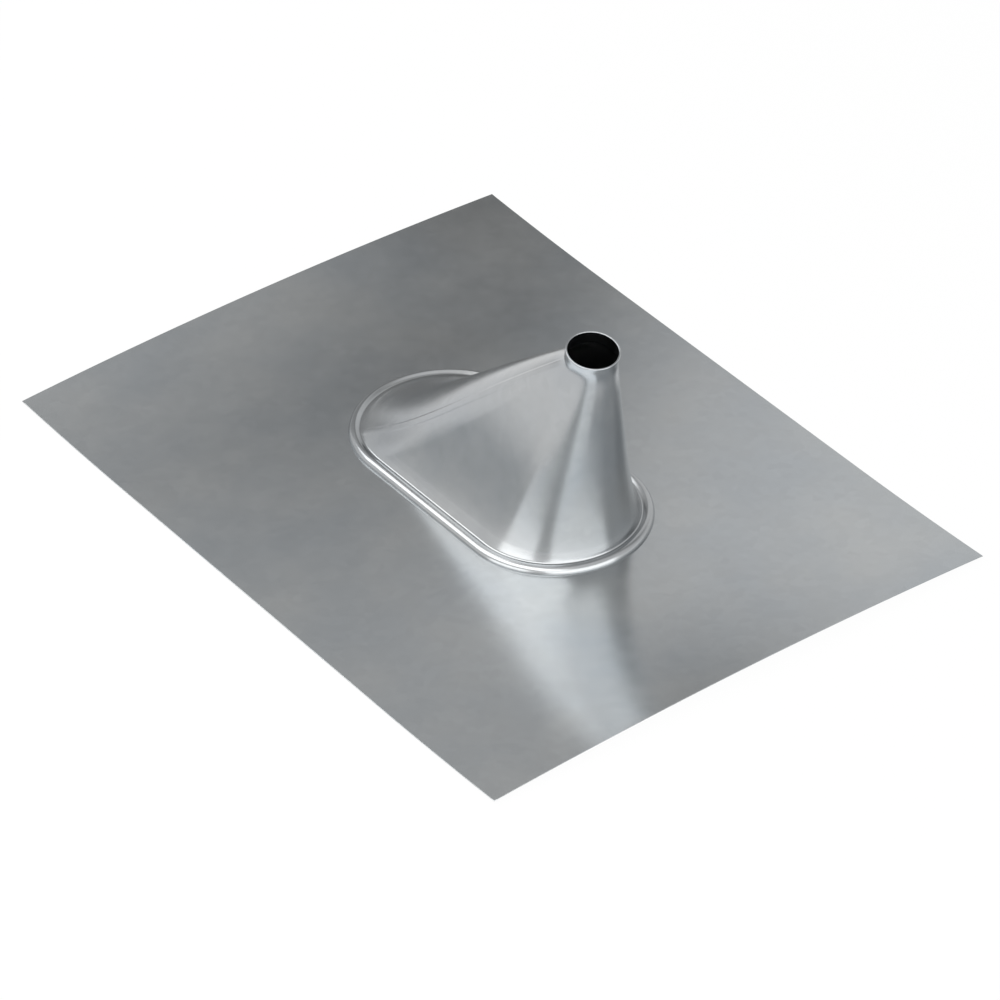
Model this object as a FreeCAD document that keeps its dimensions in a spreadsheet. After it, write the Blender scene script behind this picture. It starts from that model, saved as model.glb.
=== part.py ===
"""Pipe flashing boot: a formed sheet-metal cone locked to a roof flange.

Millimetres, +Z up.  The origin is the middle of the flange's underside.  +X runs
along the flange's long side towards the cone's steep end, and +Y runs across it.
"""
import FreeCAD, Part
import math
import os

import Sketcher
from FreeCAD import Placement, Rotation, Vector

SIZES = (
    ("flange_length", 610.0, "long side of the roof flange"),
    ("flange_width", 457.0, "short side of the roof flange"),
    ("flange_gauge", 0.7, "thickness of the flange sheet"),
    ("flat_length", 320.0, "middle stretch of the flange that lies flat"),
    ("curl_middle", 10.0, "rise of a short edge at its middle"),
    ("curl_corner", 3.4, "rise of a short edge at its corners"),
    ("foot_radius", 66.7, "end radius of the cone's oval foot"),
    ("foot_straight", 136.0, "straight side of the oval foot"),
    ("foot_shift", -6.5, "centre of the oval foot along the flange"),
    ("foot_offset", 11.5, "centre of the oval foot and of the mouth across the flange"),
    ("foot_height", 3.0, "where the cone's wall turns into its rolled seam"),
    ("cone_gauge", 0.7, "thickness of the cone sheet"),
    ("side_flare", 6.2, "spread of the wall at its foot, near and far sides"),
    ("front_flare", 6.7, "spread of the wall at its foot, steep end"),
    ("ramp_flare", 23.0, "spread of the wall at its foot, end of the long ramp"),
    ("flare_power", 8.0, "how fast the spread fades on the way up"),
    ("bore_radius", 19.05, "inside of the collar, for a 38 mm pipe"),
    ("collar_length", 12.0, "straight collar below the mouth"),
    ("mouth_reach", 112.0, "centre of the mouth along the flange"),
    ("mouth_height", 181.8, "centre of the mouth above the flange's underside"),
    ("mouth_tilt", 10.5, "lean of the collar towards the steep end, in degrees"),
    ("hem_depth", 5.0, "edge of the mouth folded back down the collar"),
    ("hem_gauge", 0.8, "thickness that the folded edge adds"),
    ("seam_reach", 9.5, "width of the rolled seam outside the oval foot"),
    ("seam_clearance", 0.3, "space between the flange's lip and the roll over it"),
    ("lip_bend", 1.0, "inside setback of the bend at the flange's lip"),
)

# Heights of the cone's sections, as fractions of the wall: close together in the flare.
STATIONS = (0.0, 0.04, 0.1, 0.2, 0.36, 0.58, 0.79, 1.0)
# Half angle of the short arcs at the neck that the flat near and far sides run into.
NECK_ARC = math.radians(6.0)
# Turn of the flange's edge between flat and lip, on the way up to the lip.
LIP_TURN = math.radians(45.0)
# A small lean about Y, whose angle a sketch then takes from the spreadsheet.
LEAN = Rotation(Vector(0, 1, 0), 1)
# Half a turn about Y, so that a section across the seam has X outwards and Y up.
FLIPPED = Rotation(Vector(0, 1, 0), 180)
SHEET = "Sizes."


def make_sheet(doc):
    """Write the driving sizes into the spreadsheet and return it."""
    sheet = doc.addObject("Spreadsheet::Sheet", "Sizes")
    for row, (alias, value, meaning) in enumerate(SIZES, start=1):
        sheet.set(f"A{row}", alias)
        sheet.set(f"B{row}", str(value))
        sheet.set(f"C{row}", meaning)
        sheet.setAlias(f"B{row}", alias)
    doc.recompute()
    return sheet


def named(expression):
    """Turn words in braces into references to the spreadsheet."""
    return expression.replace("{", SHEET).replace("}", "")


def origin_plane(body, role):
    """Return the body's own origin plane with that role."""
    return next(plane for plane in body.Origin.OriginFeatures if plane.Role == role)


def new_sketch(body, name, role, bindings=None, turn=None):
    """Add a sketch on an origin plane, turned first and then moved by bound offsets."""
    sketch = body.newObject("Sketcher::SketchObject", name)
    sketch.AttachmentSupport = [(origin_plane(body, role), "")]
    sketch.MapMode = "FlatFace"
    sketch.AttachmentOffset = Placement(Vector(), turn or Rotation())
    for path, expression in (bindings or {}).items():
        sketch.setExpression(f"AttachmentOffset.{path}", named(expression))
    return sketch


def bind(sketch, constraint, name, expression):
    """Add a named dimension to a sketch and drive it from the spreadsheet."""
    index = sketch.addConstraint(constraint)
    sketch.renameConstraint(index, name)
    sketch.setExpression(f"Constraints.{name}", named(expression))


def close_loop(sketch, kind):
    """Join each edge's end to the next edge's start, coincident or tangent."""
    count = sketch.GeometryCount
    for edge in range(count):
        sketch.addConstraint(Sketcher.Constraint(kind, edge, 2, (edge + 1) % count, 1))


# Sizes that follow from the driving ones.
NECK_RADIUS = "({bore_radius} + {cone_gauge})"
NECK_X = "({mouth_reach} - {collar_length} * sin({mouth_tilt}))"
NECK_Z = "({mouth_height} - {collar_length} * cos({mouth_tilt}))"
MOUTH = {"Base.x": "{mouth_reach}", "Base.y": "{foot_offset}", "Base.z": "{mouth_height}",
         "Rotation.Angle": "{mouth_tilt}"}
# The roll stands on the flange and rises from the wall's foot: its outer circle runs
# through both, with its centre level with the top of the flange.
SEAM_RISE = "({foot_height} - {flange_gauge})"
ROLL = "((" + "{seam_reach} ^ 2 + " + SEAM_RISE + " ^ 2) / (2 * {seam_reach}))"
ROLL_S = "({foot_radius} + {seam_reach} - " + ROLL + ")"
LIP_OUTSIDE = "(" + ROLL_S + " + {flange_gauge} / 2)"
LIP_INSIDE = "(" + ROLL_S + " - {flange_gauge} / 2)"
LIP_TOP = "({flange_gauge} + " + ROLL + " - {cone_gauge} - {seam_clearance})"
OPENING_RADIUS = "(" + LIP_OUTSIDE + " + {lip_bend})"


def reach_of(neck, foot, flare, rise, inwards):
    """Expression for how far one side of the wall reaches at that fraction of its height.

    It runs straight from foot to neck, plus a spread that fades upwards as a power of the
    height left.  The inner skin comes inwards by the gauge, measured square to that slope.
    """
    left = 1 - rise
    reach = f"({neck} * {rise} + ({foot}) * {left} + {flare} * {left} ^ {{flare_power}})"
    if not inwards:
        return reach
    slope = (f"(({neck} - ({foot}) - {flare} * {{flare_power}} * {left} ^ ({{flare_power}} - 1))"
             f" / ({NECK_Z} - {{foot_height}}))")
    return f"({reach} {inwards} {{cone_gauge}} * sqrt(1 + {slope} ^ 2))"


def station_sizes(rise, inner):
    """Expressions for the oval section of the outer or inner skin at that fraction of the height."""
    less, more = ("-", "+") if inner else ("", "")
    oval = "({foot_straight} / 2 + {foot_radius})"
    radius = reach_of(NECK_RADIUS, "{foot_radius} - {side_flare}", "{side_flare}", rise, less)
    front = reach_of(f"({NECK_X} + {NECK_RADIUS})", f"{{foot_shift}} + {oval} - {{front_flare}}",
                     "{front_flare}", rise, less)
    back = reach_of(f"({NECK_X} - {NECK_RADIUS})", f"{{foot_shift}} - {oval} + {{ramp_flare}}",
                    "(-{ramp_flare})", rise, more)
    return {
        "radius": radius,
        "half": f"(({front} - {back}) / 2 - {radius})",
        "centre": f"(({front} + {back}) / 2)",
        "height": f"({NECK_Z} * {rise} + {{foot_height}} * {1 - rise})",
        "tilt": f"{{mouth_tilt}} * {rise}",
    }


def value_of(sheet, expression):
    """Work out an expression now, for a sketch's first guess."""
    return float(sheet.evalExpression(named(expression)))


def draw_oval(sketch, sheet, half, radius):
    """Draw two half circles and the straight sides between them, about the origin."""
    reach, size = value_of(sheet, half), value_of(sheet, radius)
    quarter = math.pi / 2
    right = Part.Circle(Vector(reach, 0, 0), Vector(0, 0, 1), size)
    left = Part.Circle(Vector(-reach, 0, 0), Vector(0, 0, 1), size)
    first = sketch.GeometryCount
    sketch.addGeometry(Part.ArcOfCircle(right, -quarter, quarter))
    sketch.addGeometry(Part.LineSegment(Vector(reach, size, 0), Vector(-reach, size, 0)))
    sketch.addGeometry(Part.ArcOfCircle(left, quarter, 3 * quarter))
    sketch.addGeometry(Part.LineSegment(Vector(-reach, -size, 0), Vector(reach, -size, 0)))
    for edge in range(4):
        joint = Sketcher.Constraint("Tangent", first + edge, 2, first + (edge + 1) % 4, 1)
        sketch.addConstraint(joint)
    sketch.addConstraint(Sketcher.Constraint("Symmetric", first, 3, first + 2, 3, -1, 1))
    sketch.addConstraint(Sketcher.Constraint("PointOnObject", first, 3, -1))
    bind(sketch, Sketcher.Constraint("Radius", first, size), "radius", radius)
    bind(sketch, Sketcher.Constraint("DistanceX", -1, 1, first, 3, reach), "half", half)


def draw_neck(sketch, sheet, radius):
    """Draw the round neck as four arcs, two short ones for the flat sides to meet."""
    size = value_of(sheet, radius)
    quarter = math.pi / 2
    circle = Part.Circle(Vector(0, 0, 0), Vector(0, 0, 1), size)
    for middle, half_angle in enumerate((quarter - NECK_ARC, NECK_ARC) * 2):
        start, end = middle * quarter - half_angle, middle * quarter + half_angle
        sketch.addGeometry(Part.ArcOfCircle(circle, start, end))
    close_loop(sketch, "Coincident")
    for edge in range(4):
        sketch.addConstraint(Sketcher.Constraint("Coincident", edge, 3, -1, 1))
    sketch.addConstraint(Sketcher.Constraint("Symmetric", 0, 1, 0, 2, -1))
    sketch.addConstraint(Sketcher.Constraint("Symmetric", 1, 1, 1, 2, -2))
    bind(sketch, Sketcher.Constraint("Radius", 0, size), "radius", radius)
    short = f"{radius} * {math.sin(NECK_ARC)}"
    bind(sketch, Sketcher.Constraint("DistanceX", -1, 1, 1, 1, value_of(sheet, short)), "short", short)


def add_skin(body, sheet, kind, name, neck_radius, inner):
    """Loft one skin of the wall through its sections, from the oval foot to the round neck."""
    sketches = []
    for number, rise in enumerate(STATIONS):
        sizes = station_sizes(rise, inner and rise < 1)
        sketch = new_sketch(
            body, f"{name}_{number}", "XY_Plane",
            {"Base.x": sizes["centre"], "Base.y": "{foot_offset}", "Base.z": sizes["height"],
             "Rotation.Angle": sizes["tilt"]}, LEAN)
        if rise < 1:
            draw_oval(sketch, sheet, sizes["half"], sizes["radius"])
        else:
            draw_neck(sketch, sheet, neck_radius)
        sketches.append(sketch)
    skin = body.newObject(kind, name)
    skin.Profile = sketches[0]
    skin.Sections = sketches[1:]
    body.Document.recompute()


def draw_ring(sketch, sheet, radii):
    """Draw circles about the sketch's origin, one for each named radius."""
    for name, radius in radii.items():
        size = value_of(sheet, radius)
        edge = sketch.addGeometry(Part.Circle(Vector(0, 0, 0), Vector(0, 0, 1), size))
        sketch.addConstraint(Sketcher.Constraint("Coincident", edge, 3, -1, 1))
        bind(sketch, Sketcher.Constraint("Radius", edge, size), name, radius)


def add_wall(body, sheet):
    """Loft the outer skin, add the collar, and hollow both out to the sheet's thickness."""
    add_skin(body, sheet, "PartDesign::AdditiveLoft", "skin", NECK_RADIUS, False)
    neck = {"Base.x": NECK_X, "Base.y": "{foot_offset}", "Base.z": NECK_Z,
            "Rotation.Angle": "{mouth_tilt}"}
    ring = new_sketch(body, "collar_section", "XY_Plane", neck, LEAN)
    draw_ring(ring, sheet, {"outside": NECK_RADIUS})
    collar = body.newObject("PartDesign::Pad", "collar")
    collar.Profile = ring
    collar.setExpression("Length", named("{collar_length}"))
    body.Document.recompute()
    add_skin(body, sheet, "PartDesign::SubtractiveLoft", "hollow", "{bore_radius}", True)
    hole = new_sketch(body, "bore_section", "XY_Plane", MOUTH, LEAN)
    draw_ring(hole, sheet, {"bore": "{bore_radius}"})
    bore = body.newObject("PartDesign::Pocket", "bore")
    bore.Profile = hole
    bore.setExpression("Length", named("{collar_length}"))
    body.Document.recompute()


def make_path(body, sheet):
    """Draw the oval line that the seam and the lip follow, on the flange's underside."""
    offset = {"Base.x": "{foot_shift}", "Base.y": "{foot_offset}"}
    path = new_sketch(body, f"{body.Name}_path", "XY_Plane", offset)
    draw_oval(path, sheet, "{foot_straight} / 2", "{foot_radius}")
    return path


def section_sketch(body, name):
    """Start a section across the seam: X is the distance from the path's end centre, Y is up."""
    return new_sketch(
        body, name, "YZ_Plane",
        {"Base.x": "{foot_offset}", "Base.z": "{foot_shift} + {foot_straight} / 2"}, FLIPPED)


def arc(centre_x, centre_y, radius, start, end):
    """Return a counter-clockwise arc for a sketch."""
    return Part.ArcOfCircle(Part.Circle(Vector(centre_x, centre_y, 0), Vector(0, 0, 1), radius), start, end)


def add_seam(body, sheet):
    """Roll the wall's foot out, over the flange's lip and down onto the flange.

    The section is two arcs about one centre, closed on the outside by an edge that stands
    on the flange and on the inside by the fold that joins the wall.
    """
    roll, centre_s = value_of(sheet, ROLL), value_of(sheet, ROLL_S)
    base, foot_z = value_of(sheet, "{flange_gauge}"), value_of(sheet, "{foot_height}")
    gauge, foot_s = value_of(sheet, "{cone_gauge}"), value_of(sheet, "{foot_radius}")
    fold_z = foot_z - gauge
    outer_start = math.acos((foot_s - centre_s) / roll)
    fold_angle = math.pi - math.asin((fold_z - base) / (roll - gauge))
    fold_s = centre_s + (roll - gauge) * math.cos(fold_angle)
    section = section_sketch(body, "seam_section")
    outer, inner, edge, root, slant, fold = range(6)
    section.addGeometry(arc(centre_s, base, roll, 0, outer_start))
    section.addGeometry(arc(centre_s, base, roll - gauge, 0, fold_angle))
    for start_s, start_z, end_s, end_z in (
            (centre_s + roll - gauge, base, centre_s + roll, base),
            (foot_s, foot_z, foot_s - gauge, foot_z),
            (foot_s - gauge, foot_z, foot_s - gauge / 2, fold_z),
            (foot_s - gauge / 2, fold_z, fold_s, fold_z)):
        section.addGeometry(Part.LineSegment(Vector(start_s, start_z, 0), Vector(end_s, end_z, 0)))
    for first, first_end, second, second_end in (
            (inner, 3, outer, 3), (edge, 1, inner, 1), (edge, 2, outer, 1),
            (outer, 2, root, 1), (root, 2, slant, 1), (slant, 2, fold, 1), (fold, 2, inner, 2)):
        section.addConstraint(Sketcher.Constraint("Coincident", first, first_end, second, second_end))
    section.addConstraint(Sketcher.Constraint("Horizontal", outer, 3, outer, 1))
    for line in (edge, root, fold):
        section.addConstraint(Sketcher.Constraint("Horizontal", line))
    for name, kind, ends, expression in (
            ("base", "DistanceY", (-1, 1, outer, 3), "{flange_gauge}"),
            ("reach", "DistanceX", (-1, 1, outer, 1), "{foot_radius} + {seam_reach}"),
            ("foot_s", "DistanceX", (-1, 1, root, 1), "{foot_radius}"),
            ("foot_z", "DistanceY", (-1, 1, root, 1), "{foot_height}"),
            ("edge_gauge", "DistanceX", (edge, 1, edge, 2), "{cone_gauge}"),
            ("root_gauge", "DistanceX", (root, 2, root, 1), "{cone_gauge}"),
            ("fold_gauge", "DistanceY", (fold, 1, root, 1), "{cone_gauge}"),
            ("fold_turn", "DistanceX", (slant, 1, slant, 2), "{cone_gauge} / 2")):
        limit = Sketcher.Constraint(kind, *ends, value_of(sheet, expression))
        bind(section, limit, name, expression)
    sweep(body, sheet, section, "seam")


def sweep(body, sheet, section, name):
    """Carry a section once round the oval foot and add it to the body."""
    pipe = body.newObject("PartDesign::AdditivePipe", name)
    pipe.Profile = section
    pipe.Spine = (make_path(body, sheet), [])
    body.Document.recompute()


def add_hem(body, sheet):
    """Fold the mouth's edge back outside the collar, from the middle of the sheet outwards."""
    ring = new_sketch(body, "hem_section", "XY_Plane", MOUTH, LEAN)
    draw_ring(ring, sheet, {"inside": "{bore_radius} + {cone_gauge} / 2",
                            "outside": NECK_RADIUS + " + {hem_gauge}"})
    hem = body.newObject("PartDesign::Pad", "hem")
    hem.Profile = ring
    hem.Reversed = True
    hem.setExpression("Length", named("{hem_depth}"))
    body.Document.recompute()


def make_cone(doc, sheet):
    """Build the cone: wall, collar, hemmed mouth and rolled foot in one sheet."""
    body = doc.addObject("PartDesign::Body", "cone")
    body.Label = "pipe_cone"
    body.Placement = Placement()
    add_wall(body, sheet)
    add_seam(body, sheet)
    add_hem(body, sheet)
    return body


def draw_outline(sketch, sheet, corners):
    """Draw a closed outline of straight edges, each corner bound to its own two sizes."""
    places = [Vector(value_of(sheet, across), value_of(sheet, up), 0) for across, up in corners]
    for number, place in enumerate(places):
        sketch.addGeometry(Part.LineSegment(place, places[(number + 1) % len(places)]))
    close_loop(sketch, "Coincident")
    for number, (place, (across, up)) in enumerate(zip(places, corners)):
        for kind, size, expression in (("DistanceX", place.x, across), ("DistanceY", place.y, up)):
            limit = Sketcher.Constraint(kind, -1, 1, number, 1, size)
            bind(sketch, limit, f"{kind[-1].lower()}_{number}", expression)


def add_sheet_middle(body, sheet):
    """Cut the flat middle of the flange, with its oval opening."""
    outline = new_sketch(body, "flange_outline", "XY_Plane")
    half_x, half_y = "{flat_length} / 2", "{flange_width} / 2"
    draw_outline(outline, sheet, [
        ("-" + half_x, "-" + half_y), (half_x, "-" + half_y), (half_x, half_y), ("-" + half_x, half_y)])
    plate = body.newObject("PartDesign::Pad", "plate")
    plate.Profile = outline
    plate.setExpression("Length", named("{flange_gauge}"))
    body.Document.recompute()
    offset = {"Base.x": "{foot_shift}", "Base.y": "{foot_offset}"}
    oval = new_sketch(body, "opening_outline", "XY_Plane", offset)
    draw_oval(oval, sheet, "{foot_straight} / 2", OPENING_RADIUS)
    opening = body.newObject("PartDesign::Pocket", "opening")
    opening.Profile = oval
    opening.Type = "ThroughAll"
    opening.Midplane = True
    body.Document.recompute()


def add_lip(body, sheet):
    """Turn the opening's edge up into a lip, by way of a slant."""
    section = section_sketch(body, "lip_section")
    corner = math.tan(LIP_TURN / 2)
    draw_outline(section, sheet, [
        (OPENING_RADIUS, "0"),
        (OPENING_RADIUS, "{flange_gauge}"),
        (LIP_OUTSIDE, "{flange_gauge} + {lip_bend}"),
        (LIP_OUTSIDE, LIP_TOP),
        (LIP_INSIDE, LIP_TOP),
        (LIP_INSIDE, f"{{flange_gauge}} * {1 - corner} + {{lip_bend}}"),
        (f"{OPENING_RADIUS} - {{flange_gauge}} * {corner}", "0")])
    sweep(body, sheet, section, "lip")


def make_curled_end(doc, sheet, name, side):
    """Bend one end of the flange up as a smooth patch, level where it leaves the middle.

    The patch has three rows of three control points.  Its height grows with the square
    of the distance from the flat, and falls with the square of the distance from the
    middle of the short edge.
    """
    length, width = sheet.flange_length, sheet.flange_width
    inner, outer = side * sheet.flat_length / 2, side * length / 2
    corner, middle = sheet.curl_corner, 2 * sheet.curl_middle - sheet.curl_corner
    patch = Part.BezierSurface()
    patch.increase(2, 2)
    for row, (place, rises) in enumerate((
            (inner, (0, 0, 0)), ((inner + outer) / 2, (0, 0, 0)), (outer, (corner, middle, corner))), start=1):
        for column, rise in enumerate(rises, start=1):
            patch.setPole(row, column, Vector(place, (column - 2) * width / 2, rise))
    end = doc.addObject("Part::Feature", name)
    end.Shape = patch.toShape().extrude(Vector(0, 0, sheet.flange_gauge))
    end.Placement = Placement()
    return end


def make_flange(doc, sheet):
    """Build the flange: a flat middle with a lipped opening, and two ends that curl up."""
    body = doc.addObject("PartDesign::Body", "flange_middle")
    body.Placement = Placement()
    add_sheet_middle(body, sheet)
    add_lip(body, sheet)
    ends = [make_curled_end(doc, sheet, "steep_end", 1), make_curled_end(doc, sheet, "ramp_end", -1)]
    flange = doc.addObject("Part::MultiFuse", "flange")
    flange.Label = "roof_flange"
    flange.Shapes = [body] + ends
    flange.Placement = Placement()
    doc.recompute()
    return flange


def check_document(doc):
    """Stop if any object failed to compute."""
    failed = [item.Name for item in doc.Objects if {"Invalid", "Error"} & set(item.State)]
    if failed:
        raise RuntimeError("failed objects: " + ", ".join(failed))


def check_part(part):
    """Stop if a finished piece is empty, broken or more than one solid."""
    shape = part.Shape
    if shape.isNull() or not shape.isValid() or len(shape.Solids) != 1:
        raise RuntimeError("bad shape: " + part.Label)


def main():
    """Build the boot, check it and write one STEP file for each piece."""
    doc = FreeCAD.newDocument("pipe_flashing_boot")
    sheet = make_sheet(doc)
    parts = [make_flange(doc, sheet), make_cone(doc, sheet)]
    doc.recompute()
    check_document(doc)
    for part in parts:
        check_part(part)
    os.makedirs("parts", exist_ok=True)
    for part in parts:
        part.Shape.exportStep(f"parts/{part.Label}.step")
        print(f"{part.Label}: {part.Shape.Volume:.0f} mm3")


main()
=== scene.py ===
"""Dressed model of a pipe flashing boot: a formed sheet-metal cone locked to a roof flange.

Everything is in metres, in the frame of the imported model: the origin is the middle of the
flange's underside, +X runs along the flange towards the cone's steep end and +Z is up.
"""

import logging
import math
from dataclasses import dataclass, field
from enum import Enum
from typing import Callable, Sequence

import bpy
import numpy as np
from mathutils import Matrix, Vector

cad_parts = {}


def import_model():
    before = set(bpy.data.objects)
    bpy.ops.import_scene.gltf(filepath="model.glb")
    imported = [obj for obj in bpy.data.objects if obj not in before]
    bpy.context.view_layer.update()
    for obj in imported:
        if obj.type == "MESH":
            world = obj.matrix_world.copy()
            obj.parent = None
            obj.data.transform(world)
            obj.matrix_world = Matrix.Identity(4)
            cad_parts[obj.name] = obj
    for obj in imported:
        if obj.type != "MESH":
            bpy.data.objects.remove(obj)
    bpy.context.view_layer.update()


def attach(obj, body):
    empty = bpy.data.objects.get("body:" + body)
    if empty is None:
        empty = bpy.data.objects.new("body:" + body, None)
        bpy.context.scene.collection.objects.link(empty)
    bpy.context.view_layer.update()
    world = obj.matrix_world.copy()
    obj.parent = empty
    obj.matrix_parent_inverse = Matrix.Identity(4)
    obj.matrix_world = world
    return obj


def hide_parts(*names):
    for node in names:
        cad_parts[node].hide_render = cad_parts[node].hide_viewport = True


LOG = logging.getLogger("flashing_boot")
MM = 0.001


class Ray(Enum):
    """The kinds of ray that show what the studio looks like; all others only carry light."""

    CAMERA = "Is Camera Ray"
    GLOSSY = "Is Glossy Ray"
    TRANSMISSION = "Is Transmission Ray"


# --------------------------------------------------------------------------- meshes


def ring_mesh(name: str, points: np.ndarray) -> bpy.types.Object:
    """Make one closed mesh from a grid that wraps round in both directions.

    Each grid cell becomes a four-sided face.  The signed volume, a sixth of the sum of
    each triangle's triple product, tells which way the faces look, and they are turned
    when it is negative.

    Args:
        name: The piece's name.
        points: Positions, as rows by columns by three.

    Returns:
        The new object, at the origin.
    """
    rows, columns = points.shape[:2]
    index = np.arange(rows * columns).reshape(rows, columns)
    ahead, above = np.roll(index, -1, axis=1), np.roll(index, -1, axis=0)
    quads = np.stack([index, ahead, np.roll(above, -1, axis=1), above], axis=-1).reshape(-1, 4)
    flat = points.reshape(-1, 3)
    a, b, c, d = (flat[quads[:, side]] for side in range(4))
    triple = np.einsum("ij,ij->i", a, np.cross(b, c)) + np.einsum("ij,ij->i", a, np.cross(c, d))
    if triple.sum() < 0:
        quads = quads[:, ::-1]
    mesh = bpy.data.meshes.new(name)
    mesh.vertices.add(len(flat))
    mesh.vertices.foreach_set("co", flat.astype(np.float32).ravel())
    mesh.loops.add(quads.size)
    mesh.loops.foreach_set("vertex_index", quads.astype(np.int32).ravel())
    mesh.polygons.add(len(quads))
    mesh.polygons.foreach_set("loop_start", np.arange(0, quads.size, 4, dtype=np.int32))
    mesh.update(calc_edges=True)
    mesh.shade_smooth()
    piece = bpy.data.objects.new(name, mesh)
    bpy.context.scene.collection.objects.link(piece)
    return piece


def soften(points: np.ndarray, first: int, last: int, passes: int) -> None:
    """Round the creases in a band of rows, in place.

    Each pass moves a row half way to the mean of its two neighbours, which is a blur of
    the profile along its own length.

    Args:
        points: Positions, as rows by columns by three.
        first: First row of the band.
        last: Row after the band.
        passes: How many times to blur.
    """
    band = np.arange(first, last)
    for _ in range(passes):
        before, after = points[(band - 1) % len(points)], points[(band + 1) % len(points)]
        points[band % len(points)] = points[band % len(points)] * 0.5 + (before + after) * 0.25


def arc_points(centre: tuple[float, float], radius: float, start: float, end: float,
               count: int) -> np.ndarray:
    """Return points along an arc: the centre plus the radius times cosine and sine.

    Args:
        centre: The two coordinates of the arc's centre.
        radius: The arc's radius.
        start: Angle of the first point, in degrees.
        end: Angle of the last point, in degrees.
        count: Number of points.

    Returns:
        Points, as count by two.
    """
    angle = np.radians(np.linspace(start, end, count))
    return np.array(centre) + radius * np.stack([np.cos(angle), np.sin(angle)], axis=-1)


def at_heights(flat: np.ndarray, height: np.ndarray) -> np.ndarray:
    """Give each row of flat positions its height.

    Args:
        flat: Positions, as rows by columns by two.
        height: One height for each row.

    Returns:
        Positions, as rows by columns by three.
    """
    spread = np.broadcast_to(np.reshape(height, (-1, 1, 1)), (*flat.shape[:2], 1))
    return np.concatenate([flat, spread], axis=-1)


@dataclass(frozen=True)
class Oval:
    """Two half circles joined by straight sides, cut into a fixed run of columns.

    The columns of the straight sides also take a short arc at each end, so that they keep
    their width where the straight sides shrink to nothing.
    """

    end_columns: int = 150
    side_columns: int = 90
    shared_arc: float = math.radians(6.0)

    def around(self, half: np.ndarray, radius: np.ndarray) -> np.ndarray:
        """Points round ovals about the origin.

        A point is its circle's centre, which slides along the straight side, plus the
        radius times the cosine and sine of the outward angle.  On a side the distance run
        goes first into the short arc, then into the slide, then into the second arc.

        Args:
            half: Half the straight side of each oval.
            radius: End radius of each oval.

        Returns:
            Positions, as ovals by columns by two.
        """
        half, radius = np.reshape(half, (-1, 1)), np.reshape(radius, (-1, 1))
        quarter, share = math.pi / 2, self.shared_arc
        end = np.linspace(-1, 1, self.end_columns)[None, :] * (quarter - share)
        side = (np.arange(1, self.side_columns + 1) / (self.side_columns + 1))[None, :]
        run = side * 2 * (share * radius + half)
        slide = np.clip(run - share * radius, 0, 2 * half)
        turn = quarter - share + (run - slide) / radius
        end = np.broadcast_to(end, (len(half), self.end_columns))
        still = np.broadcast_to(half, end.shape)
        centre = np.concatenate([still, half - slide, -still, slide - half], axis=1)
        angle = np.concatenate([end, turn, end + math.pi, turn + math.pi], axis=1)
        return np.stack([centre + radius * np.cos(angle), radius * np.sin(angle)], axis=-1)


# ------------------------------------------------------------------------- finishes


class Nodes:
    """A short hand for building one node tree."""

    def __init__(self, tree: bpy.types.NodeTree) -> None:
        """Start with an empty tree."""
        self.tree = tree
        tree.nodes.clear()

    def add(self, kind: str, **settings: object) -> bpy.types.Node:
        """Add a node and set its properties by name."""
        node = self.tree.nodes.new(kind)
        for name, value in settings.items():
            setattr(node, name, value)
        return node

    def link(self, source: bpy.types.NodeSocket, target: bpy.types.NodeSocket) -> None:
        """Join two sockets."""
        self.tree.links.new(source, target)

    def noise(self, place: bpy.types.NodeSocket, scale: float, detail: float,
              roughness: float = 0.5) -> bpy.types.NodeSocket:
        """Return the value of a noise pattern read at that place."""
        node = self.add("ShaderNodeTexNoise")
        node.inputs["Scale"].default_value = scale
        node.inputs["Detail"].default_value = detail
        node.inputs["Roughness"].default_value = roughness
        self.link(place, node.inputs["Vector"])
        return node.outputs["Fac"]

    def remap(self, value: bpy.types.NodeSocket, low: float, high: float,
              new_low: float, new_high: float) -> bpy.types.NodeSocket:
        """Return the value stretched from one range to another."""
        node = self.add("ShaderNodeMapRange")
        sockets = ("From Min", "From Max", "To Min", "To Max")
        for socket, number in zip(sockets, (low, high, new_low, new_high)):
            node.inputs[socket].default_value = number
        self.link(value, node.inputs["Value"])
        return node.outputs["Result"]

    def blend(self, amount: bpy.types.NodeSocket, first: tuple[float, ...],
              second: tuple[float, ...]) -> bpy.types.NodeSocket:
        """Return a colour between two colours."""
        node = self.add("ShaderNodeMix", data_type="RGBA")
        self.link(amount, node.inputs["Factor"])
        node.inputs["A"].default_value = (*first, 1.0)
        node.inputs["B"].default_value = (*second, 1.0)
        return node.outputs["Result"]

    def multiply(self, first: bpy.types.NodeSocket,
                 second: bpy.types.NodeSocket) -> bpy.types.NodeSocket:
        """Return the product of two colours."""
        node = self.add("ShaderNodeMix", data_type="RGBA", blend_type="MULTIPLY")
        node.inputs["Factor"].default_value = 1.0
        self.link(first, node.inputs["A"])
        self.link(second, node.inputs["B"])
        return node.outputs["Result"]

    def show(self, shader: bpy.types.NodeSocket, kind: str = "ShaderNodeOutputMaterial") -> None:
        """Join a shader to the tree's output."""
        self.link(shader, self.add(kind).inputs["Surface"])


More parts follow.
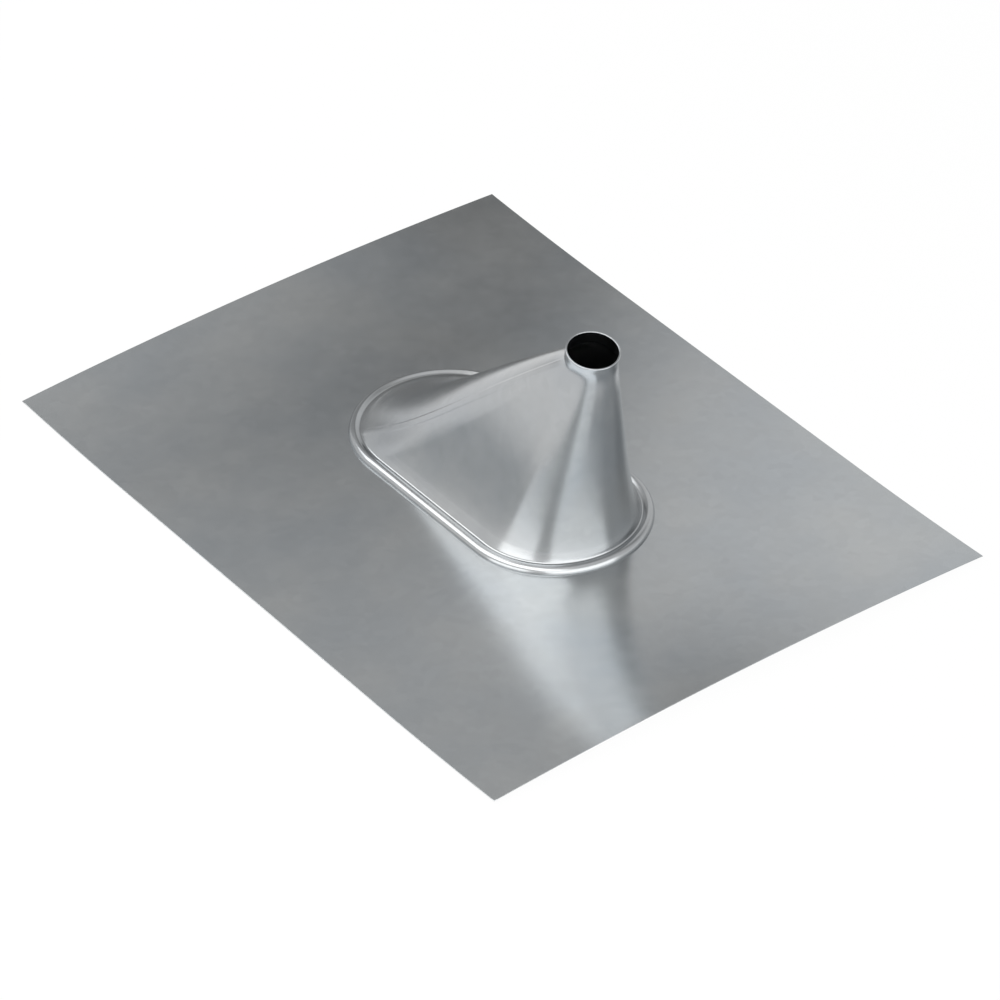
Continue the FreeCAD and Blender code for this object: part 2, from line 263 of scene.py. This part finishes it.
@dataclass(frozen=True)
class ZincSheet:
    """Zinc-coated steel sheet: satin, with soft clouds, faint crystals and fine grain."""

    name: str
    cool: tuple[float, float, float] = (0.486, 0.513, 0.533)
    warm: tuple[float, float, float] = (0.54, 0.557, 0.562)
    roughness_low: float = 0.18
    roughness_high: float = 0.23
    cloud_scale: float = 9.0
    cloud_detail: float = 3.0
    cloud_range: tuple[float, float] = (0.35, 0.65)
    haze_scale: float = 36.0
    haze_detail: float = 4.0
    haze_roughness: float = 0.6
    haze_range: tuple[float, float] = (0.3, 0.7)
    crystal_scale: float = 130.0
    crystal_depth: float = 0.05
    grain_scale: float = 900.0
    grain_detail: float = 2.0
    grain_height: float = 0.02 * MM
    grain_strength: float = 0.4

    def make(self) -> bpy.types.Material:
        """Build the material.

        Returns:
            A metal whose colour drifts between a cool and a warm grey in clouds, darkened
            a little crystal by crystal, with its roughness following finer clouds.
        """
        material = bpy.data.materials.new(self.name)
        material.use_nodes = True
        nodes = Nodes(material.node_tree)
        place = nodes.add("ShaderNodeTexCoord").outputs["Object"]
        cloud = nodes.noise(place, self.cloud_scale, self.cloud_detail)
        warmth = nodes.remap(cloud, *self.cloud_range, 0.0, 1.0)
        tone = nodes.blend(warmth, self.cool, self.warm)
        cells = nodes.add("ShaderNodeTexVoronoi")
        cells.inputs["Scale"].default_value = self.crystal_scale
        nodes.link(place, cells.inputs["Vector"])
        grey = nodes.add("ShaderNodeRGBToBW")
        nodes.link(cells.outputs["Color"], grey.inputs["Color"])
        light = 1.0 - self.crystal_depth
        crystal = nodes.blend(grey.outputs["Val"], (light,) * 3, (1.0,) * 3)
        metal = nodes.add("ShaderNodeBsdfPrincipled")
        metal.inputs["Metallic"].default_value = 1.0
        nodes.link(nodes.multiply(tone, crystal), metal.inputs["Base Color"])
        haze = nodes.noise(place, self.haze_scale, self.haze_detail, self.haze_roughness)
        satin = nodes.remap(haze, *self.haze_range, self.roughness_low, self.roughness_high)
        nodes.link(satin, metal.inputs["Roughness"])
        grain = nodes.noise(place, self.grain_scale, self.grain_detail)
        bump = nodes.add("ShaderNodeBump")
        bump.inputs["Distance"].default_value = self.grain_height
        bump.inputs["Strength"].default_value = self.grain_strength
        nodes.link(grain, bump.inputs["Height"])
        nodes.link(bump.outputs["Normal"], metal.inputs["Normal"])
        nodes.show(metal.outputs["BSDF"])
        return material


# --------------------------------------------------------------------------- flange


@dataclass
class RoofFlange:
    """The flat sheet with its curled short ends and the lip round its oval opening.

    Fields that end in rows, columns or steps only space the grid, and turns are in degrees.
    """

    finish: ZincSheet
    length: float = 610 * MM
    width: float = 457 * MM
    gauge: float = 0.7 * MM
    flat_length: float = 320 * MM
    curl_middle: float = 10 * MM
    curl_corner: float = 3.4 * MM
    centre: tuple[float, float] = (-6.5 * MM, 11.5 * MM)
    opening_half: float = 68 * MM
    opening_radius: float = 72.52 * MM
    lip_radius: float = 71.17 * MM
    lip_start: float = 1.0 * MM
    lip_bend: float = 0.98 * MM
    lip_top: float = 4.72 * MM
    bend_turns: tuple[float, float, float] = (268.0, 182.0, 262.0)
    edge_turn: float = 80.0
    long_columns: int = 150
    short_columns: int = 110
    sheet_rows: int = 56
    row_power: float = 1.25
    row_reach: float = 0.985
    last_rows: tuple[float, ...] = (0.992, 0.997, 1.0)
    edge_rows: int = 7
    bend_rows: int = 6
    up_steps: tuple[float, ...] = (0.1, 0.5, 0.9)
    down_steps: tuple[float, ...] = (0.5, 0.9)

    def curl(self, x: np.ndarray, y: np.ndarray) -> np.ndarray:
        """Rise of the underside: the square of the way past the flat stretch, times a
        rise that falls with the square of the way from the middle of the short edge."""
        flat, end = self.flat_length / 2, self.length / 2
        past = np.clip((np.abs(x) - flat) / (end - flat), 0, None)
        across = y / (self.width / 2)
        return past**2 * (self.curl_middle - (self.curl_middle - self.curl_corner) * across**2)

    def outline(self) -> np.ndarray:
        """Points round the sheet's rectangle, with a column at each corner.

        Returns:
            Positions, as columns by two.
        """
        x, y = self.length / 2, self.width / 2
        corners = np.array([(x, -y), (x, y), (-x, y), (-x, -y)])
        runs = []
        for corner, count in enumerate((self.short_columns, self.long_columns) * 2):
            part = np.arange(count)[:, None] / count
            runs.append(corners[corner] * (1 - part) + corners[(corner + 1) % 4] * part)
        return np.concatenate(runs)

    def oval_on_rays(self, direction: np.ndarray, radius: np.ndarray) -> np.ndarray:
        """Where rays from the opening's centre cross ovals of growing end radius.

        On a straight side the ray runs the radius over its sine.  On an end it runs half
        the side times its cosine, plus the root of the radius squared less half the side
        times its sine squared.

        Args:
            direction: Unit rays, as columns by two.
            radius: End radius of each oval.

        Returns:
            Positions, as ovals by columns by two.
        """
        cosine, sine = np.abs(direction[:, 0])[None, :], np.abs(direction[:, 1])[None, :]
        radius = np.reshape(radius, (-1, 1))
        on_side = radius / np.maximum(sine, 1e-9)
        inside = np.maximum(radius**2 - (self.opening_half * sine) ** 2, 0)
        on_end = self.opening_half * cosine + np.sqrt(inside)
        run = np.where(on_side * cosine <= self.opening_half, on_side, on_end)
        return run[..., None] * direction[None, :, :]

    def surface(self) -> np.ndarray:
        """The sheet as one grid that goes over its top, down its lip and back below.

        Each column is a ray from the opening's centre.  The top and the underside run in
        a straight line from the opening to the rectangle, the edge is a half circle, and
        the lip is a bend and a wall of the sheet's thickness.

        Returns:
            Positions, as rows by columns by three.
        """
        centre = np.array(self.centre)
        edge = self.outline() - centre
        direction = edge / np.linalg.norm(edge, axis=1, keepdims=True)
        half = self.gauge / 2
        rim = edge - direction * half
        inner = self.oval_on_rays(direction, np.array([self.opening_radius]))[0]
        part = np.concatenate([np.linspace(0, self.row_reach, self.sheet_rows) ** self.row_power,
                               self.last_rows])
        flat = inner + (rim - inner) * part[:, None, None]
        turn = np.radians(np.linspace(self.edge_turn, -self.edge_turn, self.edge_rows))
        round_edge = rim + direction * (half * np.cos(turn))[:, None, None]
        outer, low, rows = self.lip_radius + half, self.gauge + self.lip_start, self.bend_rows
        middle, wall = (outer + self.lip_bend, low), self.lip_top - low
        start, upright, finish = self.bend_turns
        lip = np.concatenate([
            arc_points(middle, self.lip_bend, start, upright, rows)[1:],
            [(outer, low + wall * up) for up in self.up_steps],
            arc_points((self.lip_radius, self.lip_top - half), half, 0, 180, self.edge_rows),
            [(outer - self.gauge, self.lip_top - wall * down) for down in self.down_steps],
            arc_points(middle, self.lip_bend + self.gauge, upright, finish, rows)])
        grid = np.concatenate([
            at_heights(flat, np.full(len(flat), self.gauge)),
            at_heights(round_edge, half + half * np.sin(turn)),
            at_heights(flat[::-1], np.zeros(len(flat))),
            at_heights(self.oval_on_rays(direction, lip[:, 0]), lip[:, 1])[::-1]])
        grid[..., :2] += centre
        grid[..., 2] += self.curl(grid[..., 0], grid[..., 1])
        return grid

    def build(self) -> bpy.types.Object:
        """Make the piece and dress it."""
        piece = ring_mesh("flange_sheet", self.surface())
        piece.data.materials.append(self.finish.make())
        return piece


# ----------------------------------------------------------------------------- cone


@dataclass
class PipeCone:
    """The sheet-metal cone, from its rolled foot to its hemmed mouth.

    Fields that end in rows or reach only space the grid.  The collar's and the bore's rows
    are depths below the mouth in millimetres, and the turn's are shares of the gauge.  A
    blur is the first row, the row after the last and the number of passes.
    """

    finish: ZincSheet
    oval: Oval = field(default_factory=Oval)
    gauge: float = 0.7 * MM
    foot_radius: float = 66.7 * MM
    foot_half: float = 68 * MM
    foot_centre: tuple[float, float] = (-6.5 * MM, 11.5 * MM)
    foot_height: float = 3 * MM
    side_flare: float = 6.2 * MM
    front_flare: float = 6.7 * MM
    ramp_flare: float = 23 * MM
    flare_power: float = 8.0
    bore_radius: float = 19.05 * MM
    collar_length: float = 12 * MM
    mouth: tuple[float, float, float] = (112 * MM, 11.5 * MM, 181.8 * MM)
    tilt: float = math.radians(10.5)
    hem_gauge: float = 0.8 * MM
    hem_ease: float = 8 * MM
    flange_gauge: float = 0.7 * MM
    roll_radius: float = 5.0285 * MM
    roll_centre: float = 71.1715 * MM
    roll_end: float = 152.7
    seam_angle: float = math.radians(238.0)
    seam_width: float = 9 * MM
    seam_height: float = 0.5 * MM
    seam_edge: float = 1.3 * MM
    seam_fade: tuple[float, float] = (0.02, 0.03)
    wall_rows: int = 84
    wall_power: float = 1.5
    collar_rows: tuple[float, ...] = (
        11.0, 10.0, 9.0, 8.0, 7.2, 6.4, 5.6, 4.8, 4.0, 3.2, 2.4, 1.6, 1.1)
    hem_rows: int = 9
    bore_rows: tuple[float, ...] = (1.2, 3, 5, 7, 9, 10.8)
    inner_rows: int = 36
    inner_reach: tuple[float, float] = (0.985, 0.004)
    turn_rows: tuple[tuple[float, float], ...] = ((0.98, 0.3), (0.55, 1.0))
    roll_rows: tuple[int, int] = (22, 34)
    foot_blur: tuple[int, int, int] = (-11, 13, 40)
    neck_blur: tuple[int, int, int] = (-4, 5, 6)

    @property
    def neck_radius(self) -> float:
        """Outer radius of the collar."""
        return self.bore_radius + self.gauge

    def wall(self, rise: np.ndarray) -> np.ndarray:
        """The wall's outer skin at fractions of its height.

        The steep end, the ramp end and the sides each run straight from foot to neck, plus
        a spread that fades as a power of the height left.  Each section is an oval that
        leans by its fraction of the mouth's tilt.

        Args:
            rise: Fractions of the height, 0 at the foot and 1 at the neck.

        Returns:
            Positions, as fractions by columns by three.
        """
        left, fade = 1 - rise, (1 - rise) ** self.flare_power
        neck_x = self.mouth[0] - self.collar_length * math.sin(self.tilt)
        neck_z = self.mouth[2] - self.collar_length * math.cos(self.tilt)
        reach = self.foot_half + self.foot_radius
        radius = (self.neck_radius * rise
                  + (self.foot_radius - self.side_flare) * left + self.side_flare * fade)
        front = ((neck_x + self.neck_radius) * rise
                 + (self.foot_centre[0] + reach - self.front_flare) * left
                 + self.front_flare * fade)
        back = ((neck_x - self.neck_radius) * rise
                + (self.foot_centre[0] - reach + self.ramp_flare) * left - self.ramp_flare * fade)
        section = self.oval.around((front - back) / 2 - radius, radius)
        lean, height = self.tilt * rise[:, None], (neck_z * rise + self.foot_height * left)[:, None]
        return np.stack([((front + back) / 2)[:, None] + section[..., 0] * np.cos(lean),
                         self.foot_centre[1] + section[..., 1],
                         height - section[..., 0] * np.sin(lean)], axis=-1)

    def inside(self, rise: np.ndarray) -> np.ndarray:
        """The wall's inner skin: each point moved in by the gauge along the normal.

        The normal is the cross product of the grid's two tangents, which are the
        differences between neighbours.

        Args:
            rise: Fractions of the height.

        Returns:
            Positions, as fractions by columns by three.
        """
        skin, step = self.wall(rise), 1e-4
        around = np.roll(skin, -1, axis=1) - np.roll(skin, 1, axis=1)
        up = self.wall(rise + step) - self.wall(rise - step)
        normal = np.cross(around, up)
        normal /= np.linalg.norm(normal, axis=-1, keepdims=True)
        return skin - normal * self.gauge

    def lapped(self, rise: np.ndarray) -> np.ndarray:
        """The wall's outer skin with the lap of its seam, a strip up one side of the ramp.

        The strip is where the way round from the seam, which is the angle between them
        times the section's radius, is under half the width.  It stands off along the
        normal by the seam's height, with a short slope at each edge, and dies out near
        the foot and the neck.

        Args:
            rise: Fractions of the height.

        Returns:
            Positions, as fractions by columns by three.
        """
        skin = self.wall(rise)
        normal = (skin - self.inside(rise)) / self.gauge
        count, reach = self.oval.end_columns, math.pi / 2 - self.oval.shared_arc
        first = count + self.oval.side_columns
        angle = np.zeros(skin.shape[1])
        angle[first:first + count] = math.pi + np.linspace(-reach, reach, count)
        radius = self.neck_radius * rise + self.foot_radius * (1 - rise)
        away = np.abs(angle - self.seam_angle)[None, :] * radius[:, None]
        stand = np.clip((self.seam_width / 2 - away) / self.seam_edge, 0, 1)
        from_foot, to_neck = self.seam_fade
        fade = np.clip(rise / from_foot, 0, 1) * np.clip((1 - rise) / to_neck, 0, 1)
        return skin + normal * (stand * fade[:, None] * self.seam_height)[..., None]

    def ring(self, profile: np.ndarray) -> np.ndarray:
        """Circles round the collar's axis, from pairs of radius and depth below the mouth."""
        flat = self.oval.around(np.zeros(len(profile)), profile[:, 0])
        sine, cosine = math.sin(self.tilt), math.cos(self.tilt)
        depth = profile[:, 1][:, None]
        return np.stack([self.mouth[0] + flat[..., 0] * cosine - depth * sine,
                         self.mouth[1] + flat[..., 1],
                         self.mouth[2] - flat[..., 0] * sine - depth * cosine], axis=-1)

    def foot(self, profile: np.ndarray) -> np.ndarray:
        """Ovals round the foot, from pairs of end radius and height."""
        flat = self.oval.around(np.full(len(profile), self.foot_half), profile[:, 0])
        return at_heights(flat + np.array(self.foot_centre), profile[:, 1])

    def surface(self) -> np.ndarray:
        """The whole sheet as one grid: up the outside, over the hem, down the inside and
        out under the roll.

        Returns:
            Positions, as rows by columns by three.
        """
        sheet, bore = self.gauge, self.bore_radius
        rise = np.linspace(0, 1, self.wall_rows) ** self.wall_power
        depth = np.array(self.collar_rows) * MM
        spread = 0.5 + 0.5 * np.cos(math.pi * np.clip(depth / self.hem_ease, 0, 1))
        collar = self.ring(np.stack([self.neck_radius + self.hem_gauge * spread, depth], axis=-1))
        edge = (sheet + self.hem_gauge) / 2
        hem = self.ring(np.concatenate([
            arc_points((bore + edge, edge), edge, 0, -180, self.hem_rows),
            [(bore, row * MM) for row in self.bore_rows]]))
        inner_roll, fold = self.roll_radius - sheet, self.foot_height - sheet
        fold_angle = 180 - math.degrees(math.asin((fold - self.flange_gauge) / inner_roll))
        middle = (self.roll_centre, self.flange_gauge)
        foot = self.foot(np.concatenate([
            [(self.foot_radius - inwards * sheet, self.foot_height - down * sheet)
             for inwards, down in self.turn_rows],
            arc_points(middle, inner_roll, fold_angle, 0, self.roll_rows[0]),
            arc_points(middle, self.roll_radius, 0, self.roll_end, self.roll_rows[1])[:-1]]))
        inner = self.inside(np.linspace(*self.inner_reach, self.inner_rows))
        grid = np.concatenate([self.lapped(rise), collar, hem, inner, foot], axis=0)
        for row, (first, last, passes) in ((0, self.foot_blur), (self.wall_rows, self.neck_blur)):
            soften(grid, row + first, row + last, passes)
        return grid

    def build(self) -> bpy.types.Object:
        """Make the piece and dress it."""
        piece = ring_mesh("cone_sheet", self.surface())
        piece.data.materials.append(self.finish.make())
        return piece


# --------------------------------------------------------------------------- studio


def studio_surface(name: str, points: Sequence[Sequence[float]],
                   quads: Sequence[Sequence[int]]) -> tuple[bpy.types.Object, Nodes]:
    """Make a surface of the studio with a material of its own.

    Args:
        name: The surface's name.
        points: Its corners.
        quads: Four corner numbers for each face.

    Returns:
        The surface, and a short hand for its material's empty node tree.
    """
    mesh = bpy.data.meshes.new(name)
    mesh.from_pydata(points, [], quads)
    surface = bpy.data.objects.new(name, mesh)
    bpy.context.scene.collection.objects.link(surface)
    material = bpy.data.materials.new(name)
    material.use_nodes = True
    mesh.materials.append(material)
    return surface, Nodes(material.node_tree)


@dataclass(frozen=True)
class SoftBox:
    """One rectangular lamp, aimed at a point."""

    name: str
    place: tuple[float, float, float]
    aim: tuple[float, float, float]
    size: tuple[float, float]
    radiance: float

    def build(self) -> bpy.types.Object:
        """Hang the lamp.

        Returns:
            The lamp, whose power is its radiance times its area and pi.
        """
        lamp = bpy.data.lights.new(self.name, "AREA")
        lamp.shape = "RECTANGLE"
        lamp.size, lamp.size_y = self.size
        lamp.energy = self.radiance * math.pi * self.size[0] * self.size[1]
        box = bpy.data.objects.new(self.name, lamp)
        box.location = self.place
        box.rotation_mode = "QUATERNION"
        box.rotation_quaternion = (Vector(self.aim) - Vector(self.place)).to_track_quat("-Z", "Y")
        bpy.context.scene.collection.objects.link(box)
        return box


@dataclass(frozen=True)
class FarCard:
    """An upright card behind the boot that only metal sees, with tones that drift."""

    heading: float = math.radians(144.0)
    distance: float = 1.0
    across: tuple[float, ...] = (-0.9, -0.5, -0.3, -0.1, 0.05, 0.2, 0.35, 0.5, 0.9)
    heights: tuple[float, ...] = (0.1, 0.5, 0.65, 0.8, 0.95, 1.1, 1.5)
    tones: tuple[tuple[float, ...], ...] = (
        (0.45, 0.40, 0.34, 0.26, 0.22, 0.50, 0.72, 0.80, 0.80),
        (0.45, 0.38, 0.34, 0.24, 0.20, 0.50, 0.76, 0.80, 0.80),
        (0.46, 0.42, 0.38, 0.26, 0.32, 0.70, 0.80, 0.82, 0.80),
        (0.55, 0.52, 0.46, 0.44, 0.55, 0.80, 0.86, 0.84, 0.80),
        (0.60, 0.60, 0.52, 0.58, 0.64, 0.76, 0.82, 0.80, 0.76),
        (0.55, 0.57, 0.52, 0.54, 0.60, 0.64, 0.68, 0.70, 0.70),
        (0.50, 0.50, 0.48, 0.48, 0.50, 0.55, 0.60, 0.60, 0.60))
    steps: int = 61

    def build(self) -> bpy.types.Object:
        """Stand the card up.

        A grid runs across and up.  Its place is the heading times the distance plus the
        sideways direction times the way across.  Each vertex's tone is read from the table
        in a straight line between its neighbours, first across and then up.

        Returns:
            The card, which casts no shadow and glows with its own tone.
        """
        across = np.linspace(self.across[0], self.across[-1], self.steps)
        height = np.linspace(self.heights[0], self.heights[-1], self.steps)
        rows = np.array([np.interp(across, self.across, row) for row in self.tones])
        tone = np.array([np.interp(height, self.heights, column) for column in rows.T]).T
        ahead = np.array([math.cos(self.heading), math.sin(self.heading)])
        aside = np.array([math.sin(self.heading), -math.cos(self.heading)])
        flat = ahead * self.distance + aside * across[:, None]
        points = at_heights(np.broadcast_to(flat, (self.steps, self.steps, 2)), height)
        index = np.arange(self.steps**2).reshape(self.steps, self.steps)
        quads = np.stack([index[:-1, :-1], index[:-1, 1:], index[1:, 1:], index[1:, :-1]], axis=-1)
        card, nodes = studio_surface("far_card", points.reshape(-1, 3).tolist(),
                                     quads.reshape(-1, 4).tolist())
        tones = card.data.attributes.new("tone", "FLOAT", "POINT")
        tones.data.foreach_set("value", tone.astype(np.float32).ravel())
        card.visible_camera = card.visible_diffuse = card.visible_shadow = False
        glow = nodes.add("ShaderNodeEmission")
        shade = nodes.add("ShaderNodeAttribute", attribute_name="tone")
        nodes.link(shade.outputs["Fac"], glow.inputs["Strength"])
        nodes.show(glow.outputs["Emission"])
        return card


@dataclass(frozen=True)
class Studio:
    """The white floor, the pale room, the far card and the soft lamps.

    The room's brightness follows the height of the view.  One curve holds for most of the
    room and another for the far side, where a dark ceiling hangs lower.
    """

    floor_size: float = 24.0
    floor_drop: float = 0.0006
    floor_tone: float = 0.45
    floor_glow: float = 0.93
    floor_white: float = 1.04
    surround: float = 0.55
    room: tuple[tuple[float, float], ...] = (
        (0.0, 0.92), (0.2, 0.92), (0.5, 0.80), (0.75, 0.80), (1.0, 0.90))
    far_room: tuple[tuple[float, float], ...] = (
        (0.0, 0.70), (0.35, 0.82), (0.5, 0.70), (0.6, 0.52), (0.72, 0.34), (1.0, 0.3))
    card: FarCard = field(default_factory=FarCard)
    far_side: tuple[float, float] = (-0.766, 0.643)
    far_reach: tuple[float, float] = (0.15, 0.5)
    lamps: tuple[SoftBox, ...] = (
        SoftBox("near_overhead", (-0.40, -1.00, 1.50), (-0.40, -1.00, 0.0), (3.5, 1.30), 1.92),
        SoftBox("left_overhead", (-1.40, -0.05, 1.50), (-1.40, -0.05, 0.0), (1.5, 0.60), 1.92),
        SoftBox("front_left", (0.22, -2.19, 0.42), (0.0, 0.0, 0.05), (1.8, 0.95), 1.4),
        SoftBox("front_right", (2.13, -0.28, 0.85), (0.0, 0.0, 0.05), (3.3, 1.8), 1.35),
    )
    shade_half: tuple[float, float] = (0.275, 0.205)

    def ray_share(self, nodes: Nodes) -> bpy.types.NodeSocket:
        """Return 1 for the kinds of ray in Ray and 0 for the others."""
        path = nodes.add("ShaderNodeLightPath")
        first, *others = Ray
        share = path.outputs[first.value]
        for ray in others:
            larger = nodes.add("ShaderNodeMath", operation="MAXIMUM")
            nodes.link(share, larger.inputs[0])
            nodes.link(path.outputs[ray.value], larger.inputs[1])
            share = larger.outputs["Value"]
        return share

    def tone_curve(self, nodes: Nodes, height: bpy.types.NodeSocket,
                   steps: tuple[tuple[float, float], ...]) -> bpy.types.NodeSocket:
        """Return the grey that a row of steps gives at that height."""
        ramp = nodes.add("ShaderNodeValToRGB")
        ramp.color_ramp.interpolation = "EASE"
        while len(ramp.color_ramp.elements) < len(steps):
            ramp.color_ramp.elements.new(0.5)
        for element, (place, tone) in zip(ramp.color_ramp.elements, steps):
            element.position, element.color = place, (tone, tone, tone, 1.0)
        nodes.link(height, ramp.inputs["Fac"])
        return ramp.outputs["Color"]

    def build_surround(self) -> None:
        """Show a room with a dim far side, and light the rest with a plain grey."""
        world = bpy.data.worlds.new("surround")
        bpy.context.scene.world = world
        world.use_nodes = True
        nodes = Nodes(world.node_tree)
        place = nodes.add("ShaderNodeTexCoord").outputs["Generated"]
        parts = nodes.add("ShaderNodeSeparateXYZ")
        nodes.link(place, parts.inputs["Vector"])
        away = nodes.add("ShaderNodeVectorMath", operation="DOT_PRODUCT")
        nodes.link(place, away.inputs[0])
        away.inputs[1].default_value = (*self.far_side, 0.0)
        share = nodes.add("ShaderNodeMapRange", interpolation_type="SMOOTHSTEP")
        for socket, number in zip(("From Min", "From Max"), self.far_reach):
            share.inputs[socket].default_value = number
        nodes.link(away.outputs["Value"], share.inputs["Value"])
        tone = nodes.add("ShaderNodeMix", data_type="RGBA")
        nodes.link(share.outputs["Result"], tone.inputs["Factor"])
        nodes.link(self.tone_curve(nodes, parts.outputs["Z"], self.room), tone.inputs["A"])
        nodes.link(self.tone_curve(nodes, parts.outputs["Z"], self.far_room), tone.inputs["B"])
        dim, shown = nodes.add("ShaderNodeBackground"), nodes.add("ShaderNodeBackground")
        dim.inputs["Strength"].default_value = self.surround
        dim.inputs["Color"].default_value = (1.0, 1.0, 1.0, 1.0)
        nodes.link(tone.outputs["Result"], shown.inputs["Color"])
        mix = nodes.add("ShaderNodeMixShader")
        nodes.link(self.ray_share(nodes), mix.inputs["Fac"])
        nodes.link(dim.outputs["Background"], mix.inputs[1])
        nodes.link(shown.outputs["Background"], mix.inputs[2])
        nodes.show(mix.outputs["Shader"], "ShaderNodeOutputWorld")

    def beside_boot(self, nodes: Nodes) -> bpy.types.NodeSocket:
        """Return 0 on the floor under the boot and 1 everywhere else."""
        size = nodes.add("ShaderNodeVectorMath", operation="ABSOLUTE")
        nodes.link(nodes.add("ShaderNodeTexCoord").outputs["Object"], size.inputs[0])
        parts = nodes.add("ShaderNodeSeparateXYZ")
        nodes.link(size.outputs["Vector"], parts.inputs["Vector"])
        either = nodes.add("ShaderNodeMath", operation="MAXIMUM")
        for place, (socket, reach) in enumerate(zip(("X", "Y"), self.shade_half)):
            past = nodes.add("ShaderNodeMath", operation="GREATER_THAN")
            nodes.link(parts.outputs[socket], past.inputs[0])
            past.inputs[1].default_value = reach
            nodes.link(past.outputs["Value"], either.inputs[place])
        return either.outputs["Value"]

    def build_floor(self) -> bpy.types.Object:
        """Lay the white floor just under the boot.

        Returns:
            The floor, white but for a share that is matt and takes the boot's shadow.  It
            is matt throughout under the boot, so that the bore stays dark.
        """
        half, low = self.floor_size / 2, -self.floor_drop
        corners = [(-half, -half, low), (half, -half, low), (half, half, low), (-half, half, low)]
        floor, nodes = studio_surface("studio_floor", corners, [(0, 1, 2, 3)])
        matt, glow, mix = (nodes.add(kind) for kind in (
            "ShaderNodeBsdfDiffuse", "ShaderNodeEmission", "ShaderNodeMixShader"))
        matt.inputs["Color"].default_value = (self.floor_tone,) * 3 + (1.0,)
        glow.inputs["Strength"].default_value = self.floor_white
        share = nodes.add("ShaderNodeMath", operation="MULTIPLY")
        nodes.link(self.ray_share(nodes), share.inputs[0])
        beside = nodes.remap(self.beside_boot(nodes), 0.0, 1.0, 0.0, self.floor_glow)
        nodes.link(beside, share.inputs[1])
        nodes.link(share.outputs["Value"], mix.inputs["Fac"])
        nodes.link(matt.outputs["BSDF"], mix.inputs[1])
        nodes.link(glow.outputs["Emission"], mix.inputs[2])
        nodes.show(mix.outputs["Shader"])
        return floor

    def build(self) -> None:
        """Set up the room, the floor, the card and the lamps."""
        self.build_surround()
        self.build_floor()
        self.card.build()
        for lamp in self.lamps:
            lamp.build()


@dataclass(frozen=True)
class ViewPoint:
    """The main camera: a long lens that looks down on the boot from its near right."""

    aim: tuple[float, float, float] = (0.022197, -0.010171, 0.0)
    azimuth: float = math.radians(-36.26475)
    elevation: float = math.radians(37.38541)
    distance: float = 4.457186
    roll: float = math.radians(-1.24517)
    lens: float = 211.3726
    sensor: float = 36.0
    clip: tuple[float, float] = (0.1, 100.0)

    def build(self) -> bpy.types.Object:
        """Place the camera and make it the scene's own.

        Returns:
            The camera, turned about its own view by the roll.
        """
        flat = math.cos(self.elevation)
        back = Vector((flat * math.cos(self.azimuth), flat * math.sin(self.azimuth),
                       math.sin(self.elevation)))
        level = Vector((0, 0, 1)).cross(back).normalized()
        upright = back.cross(level)
        right = level * math.cos(self.roll) + upright * math.sin(self.roll)
        up = upright * math.cos(self.roll) - level * math.sin(self.roll)
        data = bpy.data.cameras.new("main_camera")
        data.lens, data.sensor_width = self.lens, self.sensor
        data.clip_start, data.clip_end = self.clip
        camera = bpy.data.objects.new("main_camera", data)
        turn = Matrix((right, up, back)).transposed().to_4x4()
        camera.matrix_world = Matrix.Translation(Vector(self.aim) + back * self.distance) @ turn
        bpy.context.scene.collection.objects.link(camera)
        bpy.context.scene.camera = camera
        return camera


# ----------------------------------------------------------------------------- main


def main() -> None:
    """Build the boot, piece by piece, and the studio round it."""
    logging.basicConfig(level=logging.INFO, format="%(name)s: %(message)s")
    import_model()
    bpy.context.scene.view_settings.view_transform = "Standard"
    # The cone takes the flange's zinc painted darker all over, as painted shade on the cone.
    cone_zinc_painted_shade = ZincSheet("cone_zinc_painted_shade", cool=(0.43, 0.45, 0.468), warm=(0.478, 0.49, 0.494))
    builders: tuple[tuple[Callable[[], bpy.types.Object], str], ...] = (
        (RoofFlange(ZincSheet("flange_zinc")).build, "roof_flange"),
        (PipeCone(cone_zinc_painted_shade).build, "pipe_cone"),
    )
    for build, node in builders:
        piece = build()
        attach(piece, "root")
        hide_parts(node)
        LOG.info("%s: %d faces", piece.name, len(piece.data.polygons))
    Studio().build()
    ViewPoint().build()


if __name__ == "__main__":
    main()
